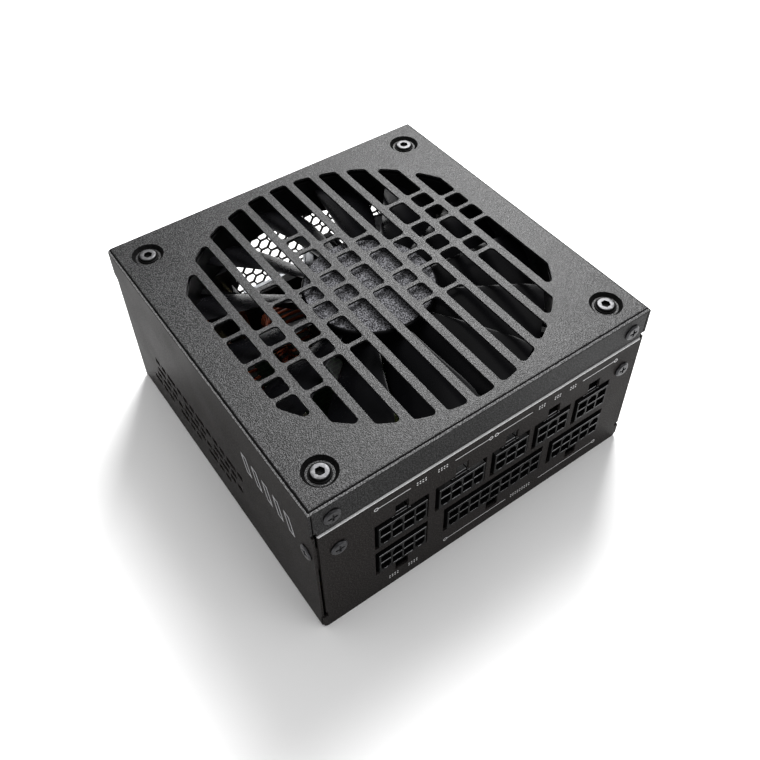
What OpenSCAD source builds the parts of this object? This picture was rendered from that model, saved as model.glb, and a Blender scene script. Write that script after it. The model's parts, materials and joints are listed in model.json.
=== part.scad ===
// Compact desktop computer power supply, 125 mm deep, with a 120 mm fan under a grille in the
// top cover and a panel of modular sockets. The origin is the middle of the bottom face. +Z is
// up towards the fan grille, -Y is the socket side, +Y is the mains side.

/* [Case] */
// Width across the side flanges of the top cover
case_w = 125; // [124.6:0.1:126]
// Depth from the socket panel to the rear panel
case_d = 125; // [124.6:0.1:126]
// Height from the bottom face to the top face
case_h = 63.5; // [63.4:0.1:65]
// Thickness of the sheet steel
sheet_t = 0.8; // [0.7:0.05:0.9]
// How far the top cover stands proud of the side walls
cover_proud = 0.4; // [0.3:0.05:0.5]
// Height of the flanges round the top cover
flange_h = 12; // [11.5:0.1:12.5]
// Outside radius of the bends in the sheet
bend_r = 1.4; // [1:0.1:1.6]

/* [Fan grille] */
// Radius of the circle that the slots stay inside
grille_r = 58.1; // [56:0.1:58.6]
// Number of slot columns
grille_columns = 11; // [9:2:11]
// Spacing of the slot columns
column_pitch = 9.5; // [9.3:0.05:9.6]
// Width of one slot
slot_w = 6.7; // [6:0.1:7]
// Width of the bars across the slots
cross_bar = 1.4; // [1:0.1:2]
// Corner radius of the slots
slot_corner_r = 1.4; // [0.8:0.1:1.8]
// Bar spacing over a short slot
short_step = 8; // [7.6:0.1:8.2]
// Bar spacing over a middle slot
middle_step = 12.65; // [12:0.05:13]

/* [Fan] */
// Side of the square fan frame
fan_size = 120; // [120]
// Thickness of the fan frame
fan_t = 15; // [14:0.5:15]
// Spacing of the fan's screw holes
fan_hole_pitch = 105; // [105]
// Radius of the air bore
fan_bore_r = 58; // [57:0.5:58]
// Radius over the blade tips
blade_tip_r = 56.6; // [54:0.2:56.8]
// Radius of the rotor hub
hub_r = 22; // [21:0.2:23]
// Number of blades
blade_count = 13; // [9:2:13]
// Height of the ring that a blade is cut from
blade_h = 10.4; // [9:0.1:10.6]
// Diameter of the fan shaft
shaft_d = 3; // [3]
// Radial clearance between the shaft and its bearing
shaft_clear = 0.03; // [0.02:0.01:0.08]

/* [Sockets] */
// Spacing of the contacts
contact_pitch = 4.2; // [4.2]
// Wall added round the contacts of a socket
socket_wall = 0.6; // [0.5:0.1:0.8]
// Height of a socket body
socket_h = 9.6; // [9:0.1:9.8]
// Length of a socket from its mouth to the board
socket_len = 12.8; // [12.4:0.1:13]
// How far a socket stands out of the panel
socket_proud = 0.7; // [0.4:0.1:1]
// Side of a contact cell
cell_w = 3.5; // [3.3:0.1:3.6]
// Height of the centre of the upper socket row
upper_row_z = 32.5; // [32:0.1:33]
// Height of the centre of the lower socket row
lower_row_z = 17.65; // [17.2:0.05:18]

/* [Mains side] */
// Sideways place of the mains inlet and the switch
mains_x = -36.5; // [-37:0.5:-36]
// Height of the centre of the mains inlet
inlet_z = 19; // [18.9:0.1:19.1]
// Height of the centre of the switch
switch_z = 39.2; // [39.1:0.1:39.3]
// Travel of the rocker in degrees
rocker_travel = 16; // [12:1:16]
// Spacing of the honeycomb holes
comb_pitch = 4.5; // [4.4:0.1:5]
// Width across the flats of a honeycomb hole
comb_flat = 3.85; // [3.2:0.05:3.9]
// Horizontal spacing of the mounting screw holes
mount_dx = 113; // [113]
// Vertical spacing of the mounting screw holes
mount_dz = 51.5; // [51.5]
// Radius of a mounting screw hole, tapped 6-32
mount_hole_r = 1.45; // [1.35:0.05:1.5]

/* [Hidden] */
$fn = 48;

eps = 0.05;
x_out = case_w / 2;
y_out = case_d / 2;
wall_x = x_out - cover_proud;
wall_in = wall_x - sheet_t;
seam_z = case_h - flange_h;
wall_top = seam_z - 0.2;
front_y = -y_out;
flange_y = front_y + cover_proud;
panel_in_y = front_y + sheet_t;
rear_y = y_out;
rear_in_y = rear_y - sheet_t;

// Screw places
fan_hole = fan_hole_pitch / 2;
dish_r = 5.3;
dish_floor_r = 4.1;
dish_depth = 1.2;
cover_screw = [55.5, 57];
panel_screw = [54.5, 40.8];
side_screw = [-58, 39.5];

// Fan levels
fan_top = case_h - dish_depth - sheet_t - 0.1;
fan_bot = fan_top - fan_t;
hub_top = fan_top - 0.2;
hub_h = 12;
blade_bot = fan_bot + 3.4;
bearing_z = fan_bot + 2.45;
bearing_r = 2.75;

// Boards
board_t = 1.6;
board_z = 5.6;
board_top = board_z + board_t;
socket_front = front_y - socket_proud;
modular_y = socket_front + socket_len;
modular_top = 45.4;
modular_x = 58;

// Each slot column: height of its first bar, then the steps down to the next bars
function steps(list) = [for (s = list) s == "S" ? short_step : middle_step];
grille_bars = [
    [11.4, "SMSS"], [0.4, "SSM"], [16.4, "SMSS"], [8.4, "SSM"], [31.6, "SMSS"], [23.6, "SSM"],
    [18.4, "SMSS"], [10.4, "SSM"], [25.8, "MSS"], [25.8, "SSMS"], [18.8, "SS"]];

// Side vents: rows of short and middle slots, "-" leaves a gap
vent_short = 3.4;
vent_middle = 6;
vent_web = 1.2;
vent_gap = 3.2;
vent_h = 2.6;
vent_rows = [
    [26.7, 42.7, "SSMSSSMSSSMS"], [22.3, 42.7, "MSS-MSS-MSS"],
    [17.9, 44.7, "SMSSSMSSSMSS"], [13.3, 48.7, "MSS-MSS-MSS"]];

// Sockets: middle, number of columns, latch middle; the upper row has its latch on top
eight_pin = [[-32.85, upper_row_z, 4, 1], [-11, upper_row_z, 4, 1], [-32.85, lower_row_z, 4, -1]];
six_pin = [[8.3, upper_row_z, 3, 1], [25.4, upper_row_z, 3, 1], [42.4, upper_row_z, 3, 1]];
eighteen_pin = [[3.3, lower_row_z, 9, -1]];
ten_pin = [[38.1, lower_row_z, 5, -1]];
all_sockets = concat(eight_pin, six_pin, eighteen_pin, ten_pin);

function sum_to(v, n) = n <= 0 ? 0 : v[n - 1] + sum_to(v, n - 1);
function vent_size(c) = c == "S" ? vent_short : (c == "M" ? vent_middle : vent_gap);
function vent_at(row, n) = sum_to([for (c = row) vent_size(c) + vent_web], n);

// ---------------------------------------------------------------- shared shapes

// Outline w wide whose top corners are round, standing on y = 0
module arch(w, h, r) {
    translate([-w / 2, 0]) square([w, h - r]);
    translate([-w / 2 + r, 0]) square([w - 2 * r, h]);
    for (s = [-1, 1]) translate([s * (w / 2 - r), h - r]) circle(r);
}

// Centred rectangle with round corners
module round_rect(w, h, r) {
    square([w - 2 * r, h], center = true);
    square([w, h - 2 * r], center = true);
    for (x = [-1, 1], y = [-1, 1]) translate([x * (w / 2 - r), y * (h / 2 - r)]) circle(r);
}

// Box from one corner to the other
module span(a, b) translate(a) cube(b - a);

// Low pan head with a cross recess and a plain shank, pointing out along +Z
module pan_screw(head_r, head_h, shank_r, shank_l) {
    difference() {
        union() {
            cylinder(r = head_r, h = head_h * 0.5);
            translate([0, 0, head_h * 0.5]) cylinder(r1 = head_r, r2 = head_r * 0.8, h = head_h * 0.5);
        }
        for (a = [0, 90]) rotate([0, 0, a])
            translate([-head_r * 0.55, -0.35, head_h * 0.4]) cube([head_r * 1.1, 0.7, head_h]);
    }
    translate([0, 0, -shank_l]) cylinder(r = shank_r, h = shank_l + eps);
}

// Round wire through a list of points
module wire(route, r) {
    for (i = [0:len(route) - 2]) {
        d = route[i + 1] - route[i];
        translate(route[i])
            rotate([0, acos(d.z / norm(d)), atan2(d.y, d.x)]) cylinder(r = r, h = norm(d), $fn = 24);
    }
    for (i = [1:len(route) - 2]) translate(route[i]) rotate([17, 23, 31]) sphere(r * 1.04, $fn = 24);
}

// Ring core standing on edge, axis along X
module toroid_core(outer_r, inner_r, w) rotate([0, 90, 0]) difference() {
    cylinder(r = outer_r, h = w, center = true);
    cylinder(r = inner_r, h = w + 1, center = true);
}

// Turns round a standing ring core, as wedges of wire pack
module toroid_turns(outer_r, inner_r, w, count, wire_r) {
    for (i = [0:count - 1]) rotate([i * 360 / count, 0, 0]) translate([0, 0, (outer_r + inner_r) / 2])
        difference() {
            cube([w + 4 * wire_r, 2 * wire_r, outer_r - inner_r + 4 * wire_r], center = true);
            cube([w + 2 * eps, 3 * wire_r, outer_r - inner_r + 0.5], center = true);
        }
}

// Electrolytic can with a rolled rim and a pressed top
module can(r, h) difference() {
    union() {
        cylinder(r = r, h = h - 0.6);
        translate([0, 0, h - 0.6]) cylinder(r1 = r, r2 = r - 0.6, h = 0.6);
    }
    translate([0, 0, h - 0.4]) cylinder(r = r - 1.2, h = 1);
    translate([0, 0, 1.6]) difference() {
        cylinder(r = r + 1, h = 0.8);
        translate([0, 0, -1]) cylinder(r = r - 0.3, h = 3);
    }
}

// ---------------------------------------------------------------- case

// Solid that the top cover's skin follows, set in by i
module cover_block(i) intersection() {
    translate([0, rear_y + (i > 0 ? 5 : 0), seam_z - (i > 0 ? 2 : 0)]) rotate([90, 0, 0])
        linear_extrude(case_d + 10) arch(case_w - 2 * i, flange_h - i + (i > 0 ? 2 : 0), bend_r - i * 0.8);
    translate([-x_out - 1, flange_y + i + case_d / 2 + 10, seam_z - (i > 0 ? 2 : 0)]) rotate([90, 0, 90])
        linear_extrude(case_w + 2) arch(case_d + 20, flange_h - i + (i > 0 ? 2 : 0), bend_r - i * 0.8);
}

// One column of grille slots, centred on x = 0, as a strip less its cross bars
module slot_column(first, pattern) {
    down = steps([for (c = pattern) c]);
    difference() {
        square([slot_w, 2 * grille_r], center = true);
        for (n = [0:len(down)]) translate([0, first - sum_to(down, n)])
            square([slot_w + 1, cross_bar], center = true);
    }
}

module grille_outline() offset(r = slot_corner_r, $fn = 20) offset(delta = -slot_corner_r)
    intersection() {
        circle(grille_r, $fn = 120);
        for (i = [0:grille_columns - 1])
            translate([(i - (grille_columns - 1) / 2) * column_pitch, 0])
                slot_column(grille_bars[i][0], grille_bars[i][1]);
    }

module top_cover() color("#58585a") difference() {
    union() {
        difference() {
            cover_block(0);
            cover_block(sheet_t);
        }
        for (x = [-1, 1], y = [-1, 1])
            translate([x * fan_hole, y * fan_hole, case_h - dish_depth - sheet_t])
                cylinder(r = dish_r, h = dish_depth + sheet_t / 2);
    }
    translate([0, 0, case_h - 3]) linear_extrude(4) grille_outline();
    for (x = [-1, 1], y = [-1, 1]) translate([x * fan_hole, y * fan_hole, 0]) {
        translate([0, 0, case_h - dish_depth])
            cylinder(r1 = dish_floor_r, r2 = dish_r, h = dish_depth + eps);
        translate([0, 0, case_h - 4]) cylinder(r = 2.3, h = 5);
    }
    for (s = [-1, 1]) {
        // screw holes in the front flange
        translate([s * cover_screw.x, flange_y - 1, cover_screw.y]) rotate([-90, 0, 0])
            cylinder(r = 1.7, h = 3);
        // slit where the front flange meets a side flange
        translate([s * (x_out - sheet_t - 0.15) - 0.2, flange_y - 1, seam_z - 1])
            cube([0.4, 1 + sheet_t + 0.2, flange_h - bend_r + 1]);
        // trimmed lower corners of the flanges
        for (y = [flange_y, rear_y]) translate([s * x_out, y, seam_z]) rotate([45, 0, 0])
            cube([4, 2.2, 2.2], center = true);
    }
}

module vent_cells() for (row = vent_rows) {
    cells = [for (c = row[2]) c];
    for (n = [0:len(cells) - 1]) if (cells[n] != "-")
        translate([0, row[1] - vent_at(cells, n) - vent_size(cells[n]), row[0] - vent_h / 2])
            rotate([90, 0, 90]) linear_extrude(4)
                translate([vent_size(cells[n]) / 2, vent_h / 2]) round_rect(vent_size(cells[n]), vent_h, 0.5);
}

// Floor and both side walls, bent from one sheet
module base_tub() color("#3c3a39") difference() {
    union() {
        translate([0, rear_in_y - 0.1, 0]) rotate([90, 0, 0])
            linear_extrude(rear_in_y - panel_in_y - 0.2) difference() {
                union() {
                    translate([0, wall_top / 2 + 2]) square([2 * wall_x, wall_top - 4], center = true);
                    translate([0, 6]) mirror([0, 1]) arch(2 * wall_x, 6, bend_r);
                }
                translate([0, wall_top / 2 + 6]) square([2 * wall_in, wall_top], center = true);
                translate([0, 6 + sheet_t]) mirror([0, 1]) arch(2 * wall_in, 6, bend_r - sheet_t * 0.8);
            }
        for (s = [-1, 1]) {
            // front edges of the side walls, beside the socket panel
            translate([s * (wall_x - sheet_t / 2) - sheet_t / 2, flange_y, 6.6])
                cube([sheet_t, 2, wall_top - 6.6]);
            // set-in strips that the cover's side flanges close over
            translate([s * (wall_in - 0.25) - 0.45, -50, wall_top - 5]) cube([0.9, 100, 13]);
        }
    }
    for (s = [-1, 1]) {
        translate([s * wall_x - 2, 0, 0]) vent_cells();
        translate([s * (wall_x - 2), side_screw.x, side_screw.y]) rotate([0, s * 90, 0])
            cylinder(r = 1.7, h = 4);
    }
}

module latch_gap(s) translate([s[0], front_y, s[1] + s[3] * 8.35]) cube([4.8, 6, 4.5], center = true);

module connector_panel() color("#454343") difference() {
    union() {
        span([-60.6, front_y, 6.2], [60.6, panel_in_y, wall_top]);
        translate([0, panel_in_y, 8]) rotate([90, 0, 0]) linear_extrude(sheet_t)
            mirror([0, 1]) arch(2 * (wall_x - 0.3), 8, 2.2);
        // flange spot-welded to the floor
        span([-52, panel_in_y - eps, sheet_t + 0.1], [52, panel_in_y + 8, 2 * sheet_t + 0.1]);
        span([-52, panel_in_y - eps, sheet_t + 0.1], [52, panel_in_y + sheet_t, 6]);
        for (s = [-1, 1]) {
            // set-back tabs behind the cover's front flange
            translate([s * 55.5 - 4.5, flange_y + sheet_t + 0.1, 46]) cube([9, sheet_t, 15]);
            translate([s * 55.5 - 4.5, panel_in_y - eps, 46]) cube([9, cover_proud + sheet_t, 4]);
            // side tabs that the side screws hold
            translate([s * (wall_in - 0.5) - 0.4, panel_in_y + 0.05, 34]) cube([0.8, 9, 11]);
            translate([s * (wall_in - 0.9) - 0.8, panel_in_y - eps, 34]) cube([1.6, 0.8, 11]);
        }
    }
    for (s = all_sockets) {
        translate([s[0], front_y, s[1]])
            cube([s[2] * contact_pitch + socket_wall + 2, 6, socket_h + 3], center = true);
        latch_gap(s);
    }
    // bend reliefs where the panel widens below the side walls
    for (s = [-1, 1]) {
        translate([s * 60.9, front_y, 7.2]) cube([1.8, 4, 2.4], center = true);
        translate([s * cover_screw.x, front_y + 1, cover_screw.y]) rotate([-90, 0, 0])
            cylinder(r = 1.5, h = 3);
        translate([s * panel_screw.x, front_y - 1, panel_screw.y]) rotate([-90, 0, 0])
            cylinder(r = 1.6, h = 3);
        translate([s * (wall_in - 2), side_screw.x, side_screw.y]) rotate([0, s * 90, 0])
            cylinder(r = 1.5, h = 3);
    }
}

comb_dx = comb_pitch * 0.8660254;
module honeycomb() for (i = [-5:13], j = [0:8]) {
    x = (i + 0.5) * comb_dx;
    z = 7.9 + j * comb_pitch + (i % 2 == 0 ? comb_pitch / 2 : 0);
    if (z < 46.5 && x + comb_flat / 2 < 53.5 || z > 12 && z < 46.5)
        translate([x, z]) circle(r = comb_flat / 2 / 0.8660254, $fn = 6);
}

module rear_panel() color("#3e3c3b") difference() {
    union() {
        span([-wall_x, rear_in_y, 0.4], [wall_x, rear_y, wall_top]);
        span([-61.5, rear_in_y, 0.4], [61.5, rear_y, case_h - sheet_t - 0.1]);
        // flange spot-welded to the floor
        span([-46, rear_in_y - 8, sheet_t + 0.1], [46, rear_in_y + eps, 2 * sheet_t + 0.1]);
        for (x = [-1, 1], z = [0, 1])
            translate([x * mount_dx / 2, rear_in_y - 1.5, 6 + z * mount_dz]) rotate([-90, 0, 0])
                cylinder(r = 2.7, h = 2);
    }
    translate([0, rear_y + 1, 0]) rotate([90, 0, 0]) linear_extrude(4) honeycomb();
    for (x = [-1, 1], z = [0, 1])
        translate([x * mount_dx / 2, rear_y - 4, 6 + z * mount_dz]) rotate([-90, 0, 0])
            cylinder(r = mount_hole_r, h = 5);
    translate([mains_x, rear_y, inlet_z]) cube([27.6, 6, 20.2], center = true);
    translate([mains_x, rear_y, switch_z]) cube([19.6, 6, 13.1], center = true);
}

module cover_screws() color("#2f2f30") for (s = [-1, 1])
    translate([s * cover_screw.x, flange_y - 0.02, cover_screw.y]) rotate([90, 0, 0])
        pan_screw(2.8, 0.8, 1.45, 2.2);

module panel_screws() color("#4a4a4b") for (s = [-1, 1])
    translate([s * panel_screw.x, front_y - 0.02, panel_screw.y]) rotate([90, 0, 0])
        pan_screw(2.7, 0.9, 1.45, 5);

module side_screws() color("#2f2f30") for (s = [-1, 1])
    translate([s * (wall_x + 0.02), side_screw.x, side_screw.y]) rotate([0, s * 90, 0])
        pan_screw(2.6, 0.7, 1.45, 2.2);

// Button head screws with a hexagon socket
module fan_screws() color("#2b2b2c") for (x = [-1, 1], y = [-1, 1])
    translate([x * fan_hole, y * fan_hole, case_h - dish_depth + 0.02]) difference() {
        union() {
            cylinder(r = 3.4, h = 0.35);
            translate([0, 0, 0.35]) cylinder(r1 = 2.9, r2 = 2.6, h = 0.81);
            translate([0, 0, -10]) cylinder(r = 2.1, h = 10 + eps);
        }
        translate([0, 0, 0.2]) cylinder(r = 1.45, h = 2, $fn = 6);
    }

// Plain raised badge on each side wall: five slanted bars
badge_h = 7.6;
badge_lean = 2.2;
module side_badge() color("#b9bbbd") for (s = [-1, 1])
    translate([s * (wall_x + 0.2) - 0.2, 0, 0]) for (i = [0:4])
        translate([0, -52 + i * 6, 38.6]) rotate([90, 0, 90]) linear_extrude(0.4)
            polygon([[0, 0], [3, 0], [3 + badge_lean, badge_h], [badge_lean, badge_h]]);

module insulation_sheet() color("#d8c98f") difference() {
    span([-59, -52, sheet_t + 0.05], [59, 52, sheet_t + 0.35]);
    for (p = standoff_at) translate([p.x, p.y, 0]) cylinder(r = 3.6, h = 3);
}

// ---------------------------------------------------------------- fan

module fan_strut() span([hub_r - 2, -1.3, fan_bot + 0.2], [fan_bore_r + 1, 1.3, fan_bot + 2.6]);

module fan_frame() color("#1d1d1e") difference() {
    union() {
        difference() {
            translate([0, 0, fan_bot]) linear_extrude(fan_t) round_rect(fan_size, fan_size, 6);
            translate([0, 0, fan_bot - 1]) cylinder(r = fan_bore_r, h = fan_t + 2, $fn = 120);
            // open pockets between the corner flanges
            for (x = [-1, 1], y = [-1, 1]) translate([x * 54.6, y * 54.6, fan_bot + 3.5])
                rotate([0, 0, 45]) translate([-12, -12, 0]) cube([24, 24, fan_t - 7]);
        }
        // wall round the air bore
        translate([0, 0, fan_bot]) difference() {
            cylinder(r = fan_bore_r + 1.6, h = fan_t, $fn = 120);
            translate([0, 0, -1]) cylinder(r = fan_bore_r, h = fan_t + 2, $fn = 120);
        }
        for (x = [-1, 1], y = [-1, 1]) translate([x * fan_hole, y * fan_hole, fan_bot])
            cylinder(r = 4, h = fan_t);
        for (a = [45:90:315]) rotate([0, 0, a]) fan_strut();
        translate([0, 0, fan_bot]) cylinder(r = hub_r - 0.4, h = 2);
        cylinder_at(0, 0, fan_bot, 3.6, 10.4);
    }
    cylinder_at(0, 0, bearing_z - eps, bearing_r + 0.05, 12);
    cylinder_at(0, 0, fan_bot + 0.6, 2.5, 3);
    for (x = [-1, 1], y = [-1, 1]) cylinder_at(x * fan_hole, y * fan_hole, fan_bot - 1, 2.2, fan_t + 2);
}

module cylinder_at(x, y, z, r, h) translate([x, y, z]) cylinder(r = r, h = h);

module fan_bearing() color("#b08d4a") difference() {
    cylinder_at(0, 0, bearing_z, bearing_r, 7.8);
    cylinder_at(0, 0, fan_bot, shaft_d / 2 + shaft_clear, 12);
}

// Laminated four-pole stator round the bearing tube
module fan_stator() color("#6d6f72") difference() {
    union() {
        cylinder_at(0, 0, fan_bot + 4.4, 6.5, 4.2);
        for (a = [0:90:270]) rotate([0, 0, a]) {
            span([4, -1.8, fan_bot + 4.4], [14, 1.8, fan_bot + 8.6]);
            intersection() {
                difference() {
                    cylinder_at(0, 0, fan_bot + 4.4, 15.4, 4.2);
                    cylinder_at(0, 0, fan_bot + 4, 13.4, 6);
                }
                span([8, -9, fan_bot + 4], [16, 9, fan_bot + 9]);
            }
        }
    }
    cylinder_at(0, 0, fan_bot + 4, 3.65, 6);
}

module fan_coils() color("#a8552c") for (a = [0:90:270]) rotate([0, 0, a]) difference() {
    span([7.2, -3.6, fan_bot + 3.2], [12.8, 3.6, fan_bot + 9.8]);
    span([7, -1.85, fan_bot + 4.35], [13, 1.85, fan_bot + 8.65]);
}

module fan_board() color("#2f5a3a") difference() {
    cylinder_at(0, 0, fan_bot + 2.05, 15, 0.8);
    cylinder_at(0, 0, fan_bot + 1, 3.65, 3);
}

// One blade along +X: a plan outline through a tilted, slightly curved shell
blade_tilt = 25;
blade_shell_r = 40;
blade_t = 1.4;
blade_root_half = 13;
blade_tip_half = 11.5;
function blade_edge_r(k) = hub_r - 1 + k * (blade_tip_r - hub_r + 1) / 8;
function blade_edge_a(k) = blade_root_half + k * (blade_tip_half - blade_root_half) / 8;
module blade() intersection() {
    translate([0, 0, blade_bot]) linear_extrude(blade_h) polygon(concat(
        [for (k = [0:8]) blade_edge_r(k) * [cos(blade_edge_a(k)), -sin(blade_edge_a(k))]],
        [for (k = [8:-1:0]) blade_edge_r(k) * [cos(blade_edge_a(k)), sin(blade_edge_a(k))]]));
    translate([0, 0, blade_bot + blade_h / 2]) rotate([blade_tilt, 0, 0])
        translate([0, 0, -blade_shell_r]) rotate([0, 90, 0]) difference() {
            cylinder(r = blade_shell_r + blade_t / 2, h = 80, $fn = 200);
            translate([0, 0, -1]) cylinder(r = blade_shell_r - blade_t / 2, h = 82, $fn = 200);
        }
}

// Angle of the first blade at rest
blade_phase = 9;
module fan_rotor() color("#77787a") {
    difference() {
        cylinder_at(0, 0, hub_top - hub_h, hub_r, hub_h);
        cylinder_at(0, 0, hub_top - hub_h - 1, hub_r - 1.4, hub_h - 0.8);
        cylinder_at(0, 0, hub_top - 5, shaft_d / 2, 4.4);
        translate([0, 0, hub_top - 0.3]) difference() {
            cylinder(r = 2.6, h = 1);
            translate([0, 0, -1]) cylinder(r = 1.9, h = 3);
        }
    }
    difference() {
        cylinder_at(0, 0, hub_top - 3, 3.4, 2);
        cylinder_at(0, 0, hub_top - 5, shaft_d / 2, 4.4);
    }
    difference() {
        for (i = [0:blade_count - 1]) rotate([0, 0, blade_phase + i * 360 / blade_count]) blade();
        cylinder_at(0, 0, fan_bot, hub_r - 0.2, fan_t + 2);
    }
}

module rotor_yoke() color("#8c8e91") difference() {
    cylinder_at(0, 0, hub_top - hub_h + 0.2, hub_r - 1.45, hub_h - 2.1);
    cylinder_at(0, 0, hub_top - hub_h - 1, hub_r - 2.45, hub_h - 0.9);
    cylinder_at(0, 0, hub_top - hub_h - 1, 3.5, hub_h + 2);
}

module rotor_magnet() color("#3a3a3c") difference() {
    cylinder_at(0, 0, hub_top - hub_h + 0.3, hub_r - 2.5, 8);
    cylinder_at(0, 0, hub_top - hub_h - 1, 16.2, 10);
}

module fan_shaft() color("#c9ccd0") difference() {
    cylinder_at(0, 0, fan_bot + 0.9, shaft_d / 2, hub_top - 0.65 - fan_bot - 0.9);
    // groove for the clip
    translate([0, 0, fan_bot + 1.9 - 0.6]) difference() {
        cylinder(r = 3, h = 0.5);
        translate([0, 0, -1]) cylinder(r = 1.15, h = 3);
    }
}

module shaft_clip() color("#b7babd") difference() {
    cylinder_at(0, 0, fan_bot + 1.35, 2.1, 0.4);
    cylinder_at(0, 0, fan_bot + 1, 1.2, 2);
}

lead_route = [[18, -18, fan_bot - 1.6], [40, -36, fan_bot - 1.6], [44, -42.5, 40],
    [44, -42.5, 24], [40, -27, 19], [40, -27, board_top + 1.3]];
module fan_lead() color("#1b1b1c") wire(lead_route, 1.2);

module fan_plug() color("#e8e6de") difference() {
    span([36.4, -30.2, board_top], [43.6, -23.8, board_top + 6]);
    span([37.4, -29.2, board_top + 1.2], [42.6, -24.8, board_top + 8]);
}

// ---------------------------------------------------------------- boards and sockets

standoff_at = [[-54, -42], [54, -44.5], [-54, 34], [54, 54]];

module main_board() color("#2b4a2c") difference() {
    span([-58, -46.5, board_z], [58, 58, board_top]);
    span([-60, 40, board_z - 1], [-20, 60, board_top + 1]);
    for (p = standoff_at) cylinder_at(p.x, p.y, board_z - 1, 1.7, 4);
}

module board_standoffs() color("#c2a45c") for (p = standoff_at) translate([p.x, p.y, 0]) difference() {
    cylinder_at(0, 0, sheet_t, 2.9, board_z - sheet_t);
    cylinder_at(0, 0, sheet_t + 1, 1.5, board_z);
}

module board_screws() color("#c4c6c8") for (p = standoff_at)
    translate([p.x, p.y, board_top + 0.02]) pan_screw(2.7, 1.8, 1.45, 4.6);

module pin_places(s) for (c = [0:s[2] - 1], r = [-1, 1])
    translate([s[0] + (c - (s[2] - 1) / 2) * contact_pitch, 0, s[1] + r * contact_pitch / 2])
        children();

module modular_board() color("#22301f") difference() {
    span([-modular_x, modular_y, 3], [modular_x, modular_y + board_t, modular_top]);
    for (s = all_sockets) pin_places(s) translate([0, modular_y, 0]) cube([1.4, 6, 1.4], center = true);
    for (s = [-1, 1]) translate([s * panel_screw.x, modular_y - 1, panel_screw.y]) rotate([-90, 0, 0])
        cylinder(r = 1.6, h = 4);
}

module board_spacers() color("#c2a45c") for (s = [-1, 1])
    translate([s * panel_screw.x, panel_in_y, panel_screw.y]) rotate([-90, 0, 0]) difference() {
        cylinder(r = 2.6, h = modular_y - panel_in_y, $fn = 6);
        translate([0, 0, -1]) cylinder(r = 1.5, h = 20);
    }

module board_bars() color("#b5703c") for (x = [-44, -14, 10, 34]) {
    span([x, modular_y + board_t, 3], [x + 12, modular_y + board_t + 1.2, 12]);
    span([x, modular_y + board_t, board_top], [x + 12, modular_y + board_t + 6, board_top + 1.2]);
}

module socket_body(s) difference() {
    w = s[2] * contact_pitch + socket_wall;
    union() {
        translate([s[0], socket_front + socket_len / 2, s[1]]) cube([w, socket_len, socket_h], center = true);
        // latch catch
        translate([s[0] - 2, socket_front + 1.2, s[1] + s[3] * (socket_h / 2 + 0.75) - 0.8]) cube([4, 3, 1.6]);
        for (x = [-1, 1]) translate([s[0] + x * 2.9 - 0.4, socket_front + 1.2,
            s[1] + s[3] * (socket_h / 2 + 0.4) - 0.6]) cube([0.8, 8, 1.2]);
    }
    pin_places(s) translate([0, socket_front + socket_len, 0]) cube([1.3, 12, 1.3], center = true);
    for (c = [0:s[2] - 1], r = [-1, 1])
        translate([s[0] + (c - (s[2] - 1) / 2) * contact_pitch, socket_front + 9.2, s[1] + r * contact_pitch / 2])
            rotate([90, 0, 0]) linear_extrude(10.4) cell_outline(c % 3 == (r + 1) / 2 ? cell_key : 0.25, r);
}

// Square contact cell whose corners towards the outer wall are cut off by c
cell_key = 1.1;
module cell_outline(c, side) polygon([[-cell_w / 2, -side * cell_w / 2], [cell_w / 2, -side * cell_w / 2],
    [cell_w / 2, side * (cell_w / 2 - c)], [cell_w / 2 - c, side * cell_w / 2],
    [c - cell_w / 2, side * cell_w / 2], [-cell_w / 2, side * (cell_w / 2 - c)]]);

module eight_pin_sockets() color("#151516") for (s = eight_pin) socket_body(s);
module six_pin_sockets() color("#151516") for (s = six_pin) socket_body(s);
module eighteen_pin_socket() color("#151516") for (s = eighteen_pin) socket_body(s);
module ten_pin_socket() color("#151516") for (s = ten_pin) socket_body(s);

module socket_pins() color("#c8b98a") for (s = all_sockets) pin_places(s)
    translate([-0.55, socket_front + 3, -0.55]) cube([1.1, socket_len - 3 + board_t + 1, 1.1]);

// ---------------------------------------------------------------- mains inlet and switch

inlet_depth = 18.5;
module inlet_outline(w, h, c) polygon([[-w / 2, -h / 2], [w / 2, -h / 2], [w / 2, h / 2 - c],
    [w / 2 - c, h / 2], [-w / 2 + c, h / 2], [-w / 2, h / 2 - c]]);

module inlet_body() color("#18181a") translate([mains_x, rear_y, inlet_z]) rotate([90, 0, 180])
    difference() {
        union() {
            translate([0, 0, 0.02]) linear_extrude(2) round_rect(31, 24.4, 2.5);
            translate([0, 0, -inlet_depth]) linear_extrude(inlet_depth + eps) round_rect(27.2, 19.8, 1);
        }
        translate([0, 0, -15]) linear_extrude(20) inlet_outline(24.4, 16.4, 4);
        for (p = inlet_pin_at) translate([p.x, p.y, -14]) cube([2.1, 10.1 + 2, 4.1], center = true);
        for (p = inlet_pin_at) translate([p.x, p.y, -16]) cube([2.1, 4.1, 20], center = true);
    }

inlet_pin_at = [[-7, -2], [0, 2], [7, -2]];
module inlet_pins() color("#c9c6b8") translate([mains_x, rear_y, inlet_z]) rotate([90, 0, 180])
    for (p = inlet_pin_at) translate([p.x - 1, p.y - 2, -22.5]) cube([2, 4, 21]);

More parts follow.
